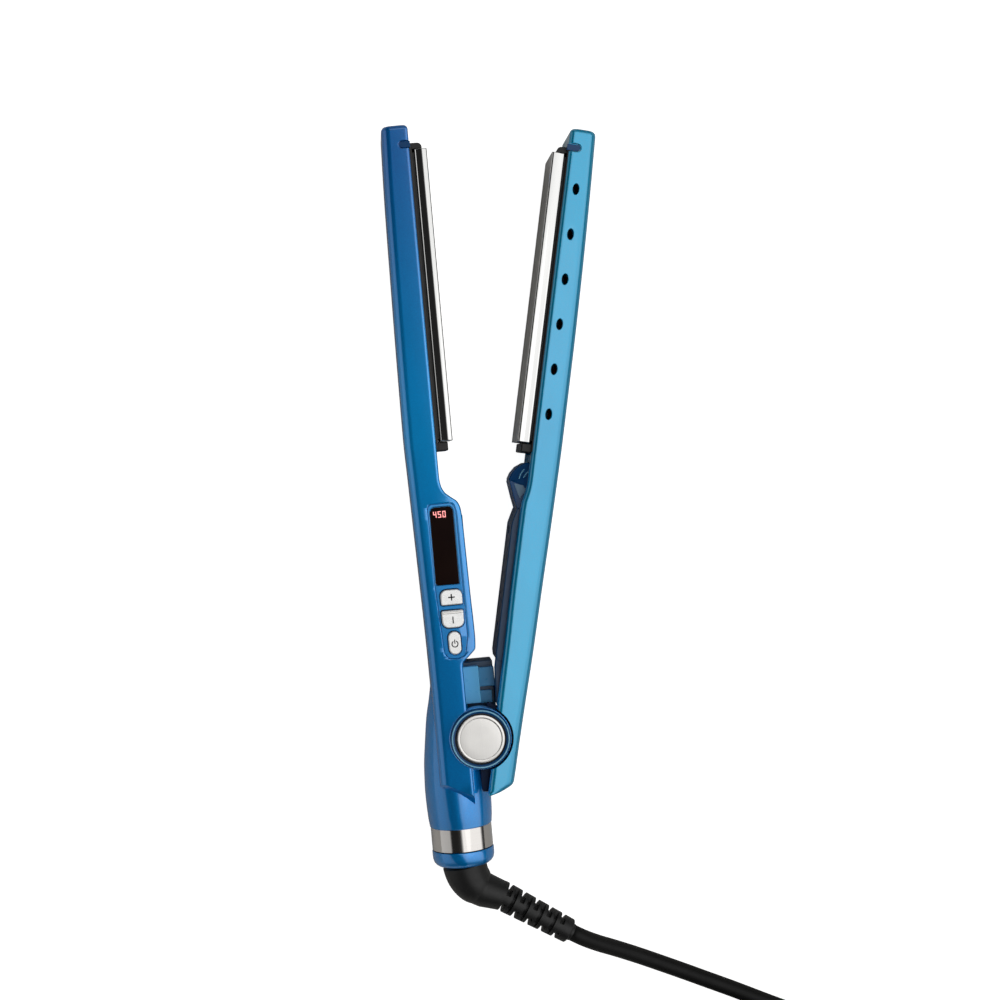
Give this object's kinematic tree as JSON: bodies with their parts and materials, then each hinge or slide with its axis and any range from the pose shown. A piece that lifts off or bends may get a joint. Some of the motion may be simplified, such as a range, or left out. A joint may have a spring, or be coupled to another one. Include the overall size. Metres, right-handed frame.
{
  "type": "flat iron",
  "caption": "Blue hair-straightening iron: control arm with display and keys, sprung lever arm, floating polished plates, swivel mains cord.",
  "frame": {"origin": "on the hinge axis, in the plane of the side faces that the iron rests on", "axes": "+Z along the hinge axis away from the surface it lies on, +Y along the control arm towards the plate tips, +X towards the lever arm"},
  "size_m": [0.2126, 0.5311, 0.0357],
  "materials": {
    "arm_paint": "pearl blue lacquer, satin gloss",
    "lever_paint": "pearl blue lacquer, satin gloss",
    "dark_blue_plastic": "semi-gloss dark blue",
    "black_plastic": "fine moulded texture",
    "soft_rubber": "satin moulded rubber",
    "cord_jacket": "smooth satin jacket",
    "plate_titanium": "mirror polished",
    "brushed_steel": "brushed",
    "hard_steel": "zinc plated",
    "brass": "polished",
    "smoked_lens": "gloss smoked",
    "silver_key": "satin pearl silver",
    "ceramic": "unglazed ceramic",
    "circuit_board": "solder mask",
    "silicone": "moulded silicone",
    "lead_red": "silicone lead",
    "lead_black": "sheathed lead"
  },
  "bodies": {
    "control_arm": {"main_outer_shell": "arm_paint", "main_inner_cover": "dark_blue_plastic", "control_panel": "dark_blue_plastic", "display_window": "smoked_lens", "display_module": "black_plastic", "control_board": "circuit_board", "plus_switch": "black_plastic", "minus_switch": "black_plastic", "power_switch": "black_plastic", "main_plate_carrier": "black_plastic", "main_cushion_1": "silicone", "main_cushion_2": "silicone", "main_heater_lead": "lead_red", "supply_lead": "lead_black", "main_cover_screw_1": "hard_steel", "main_cover_screw_2": "hard_steel", "pivot_pin": "hard_steel", "washer_far": "hard_steel", "washer_near": "hard_steel", "torsion_spring": "hard_steel", "near_pivot_ring": "arm_paint", "near_pivot_disc": "brushed_steel", "far_pivot_ring": "arm_paint", "far_pivot_disc": "brushed_steel", "steel_band": "brushed_steel", "barrel_end_cap": "arm_paint", "brush_holder": "black_plastic", "cord_run": "cord_jacket", "cord_coil": "cord_jacket", "cord_tail": "cord_jacket", "cord_tie": "soft_rubber", "plug_body": "soft_rubber", "plug_blade_1": "brass", "plug_blade_2": "brass"},
    "main_plate_float": {"main_plate": "plate_titanium", "main_heater": "ceramic", "main_thermal_fuse": "brushed_steel", "thermistor": "ceramic"},
    "lever_arm": {"lever_outer_shell": "lever_paint", "lever_inner_cover": "dark_blue_plastic", "lever_plate_carrier": "black_plastic", "lever_cushion_1": "silicone", "lever_cushion_2": "silicone", "lever_heater_lead": "lead_red", "lever_cover_screw_1": "hard_steel", "lever_cover_screw_2": "hard_steel"},
    "lever_plate_float": {"lever_plate": "plate_titanium", "lever_heater": "ceramic", "lever_thermal_fuse": "brushed_steel"},
    "plus_key": {"plus_button": "silver_key"},
    "minus_key": {"minus_button": "silver_key"},
    "power_key": {"power_button": "silver_key"},
    "cord_swivel": {"cord_elbow": "soft_rubber", "swivel_spindle": "black_plastic", "slip_ring_1": "brass", "slip_ring_2": "brass"}
  },
  "joints": [
    {"name": "lever_hinge", "type": "hinge", "parent": "control_arm", "child": "lever_arm", "pos_m": [0, 0, 0.017], "axis": [0, 0, 1], "range_deg": [0, 12], "stiffness_Nm_per_rad": 0.35, "springref_deg": -34.38},
    {"name": "main_plate_give", "type": "slide", "parent": "control_arm", "child": "main_plate_float", "axis": [-1, 0, 0], "range_m": [0, 0.001], "stiffness_N_per_m": 6000, "springref_m": -0.0006},
    {"name": "lever_plate_give", "type": "slide", "parent": "lever_arm", "child": "lever_plate_float", "axis": [0.9781, -0.2079, 0], "range_m": [0, 0.001], "stiffness_N_per_m": 6000, "springref_m": -0.0006},
    {"name": "plus_key_press", "type": "slide", "parent": "control_arm", "child": "plus_key", "axis": [0, 0, -1], "range_m": [0, 0.0005], "stiffness_N_per_m": 1500, "springref_m": -0.0005},
    {"name": "minus_key_press", "type": "slide", "parent": "control_arm", "child": "minus_key", "axis": [0, 0, -1], "range_m": [0, 0.0005], "stiffness_N_per_m": 1500, "springref_m": -0.0005},
    {"name": "power_key_press", "type": "slide", "parent": "control_arm", "child": "power_key", "axis": [0, 0, -1], "range_m": [0, 0.0005], "stiffness_N_per_m": 1500, "springref_m": -0.0005},
    {"name": "cord_swivel_turn", "type": "hinge", "parent": "control_arm", "child": "cord_swivel", "pos_m": [-0.011, -0.056, 0.017], "axis": [0, -1, 0], "continuous": true}
  ]
}
